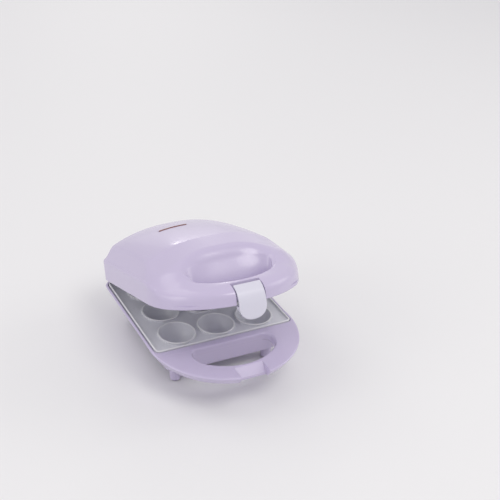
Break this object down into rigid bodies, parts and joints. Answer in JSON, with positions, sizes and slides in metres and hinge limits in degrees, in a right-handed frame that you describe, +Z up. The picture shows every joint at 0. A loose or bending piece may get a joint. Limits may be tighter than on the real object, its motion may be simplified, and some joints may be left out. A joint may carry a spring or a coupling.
{
  "type": "cake pop maker",
  "caption": "Countertop cooker for round cake pops: a clamshell with half-round wells, a hinged domed lid, a split open handle with a swinging latch, and short legs.",
  "frame": {"origin": "centre of the bounding box on the plane that the feet stand on", "axes": "+X towards the right as seen from the handle, +Y from the handle towards the hinge, +Z up"},
  "size_m": [0.157, 0.2272, 0.1354],
  "materials": {
    "lavender_plastic": "smooth gloss moulding",
    "foot_rubber": "matte",
    "steel": "plain zinc finish",
    "element_steel": "dull tubular sheath",
    "coated_aluminium": "grey non-stick coating, satin",
    "heat_resistant_white": "matte",
    "grey_rubber": "matte",
    "black_phenolic": "matte",
    "window_plastic": "smooth tinted window",
    "lamp_glass": "clear",
    "latch_plastic": "smooth gloss moulding, paler"
  },
  "bodies": {
    "base": {"base_shell": "lavender_plastic", "bottom_cover": "lavender_plastic", "foot_pads": "foot_rubber", "cover_screws": "steel", "lower_plate": "coated_aluminium", "lower_plate_screws": "steel", "lower_heater": "element_steel", "lower_clamps": "steel", "lower_clamp_screws": "steel", "lower_shield": "steel", "thermal_fuse": "heat_resistant_white", "fuse_clip": "steel", "fuse_screws": "steel", "terminal_block": "heat_resistant_white", "cord_bush": "grey_rubber", "hinge_pins": "steel", "base_sleeve": "grey_rubber"},
    "lid": {"lid_shell": "lavender_plastic", "lid_frame": "lavender_plastic", "lid_screws": "steel", "upper_plate": "coated_aluminium", "upper_plate_screws": "steel", "upper_heater": "element_steel", "upper_clamps": "steel", "upper_clamp_screws": "steel", "upper_shield": "steel", "thermostat": "black_phenolic", "thermostat_screws": "steel", "indicator_lens": "window_plastic", "lamp_holder": "heat_resistant_white", "neon_lamps": "lamp_glass", "lid_sleeve": "grey_rubber", "latch_pin": "steel"},
    "latch": {"latch": "latch_plastic"}
  },
  "joints": [
    {"name": "lid_hinge", "type": "hinge", "parent": "base", "child": "lid", "pos_m": [0, 0.10815, 0.047], "axis": [-1, 0, 0], "range_deg": [-19, 76]},
    {"name": "latch_hinge", "type": "hinge", "parent": "lid", "child": "latch", "pos_m": [0, -0.08609, 0.12023], "axis": [-1, 0, 0], "range_deg": [0, 16]}
  ]
}
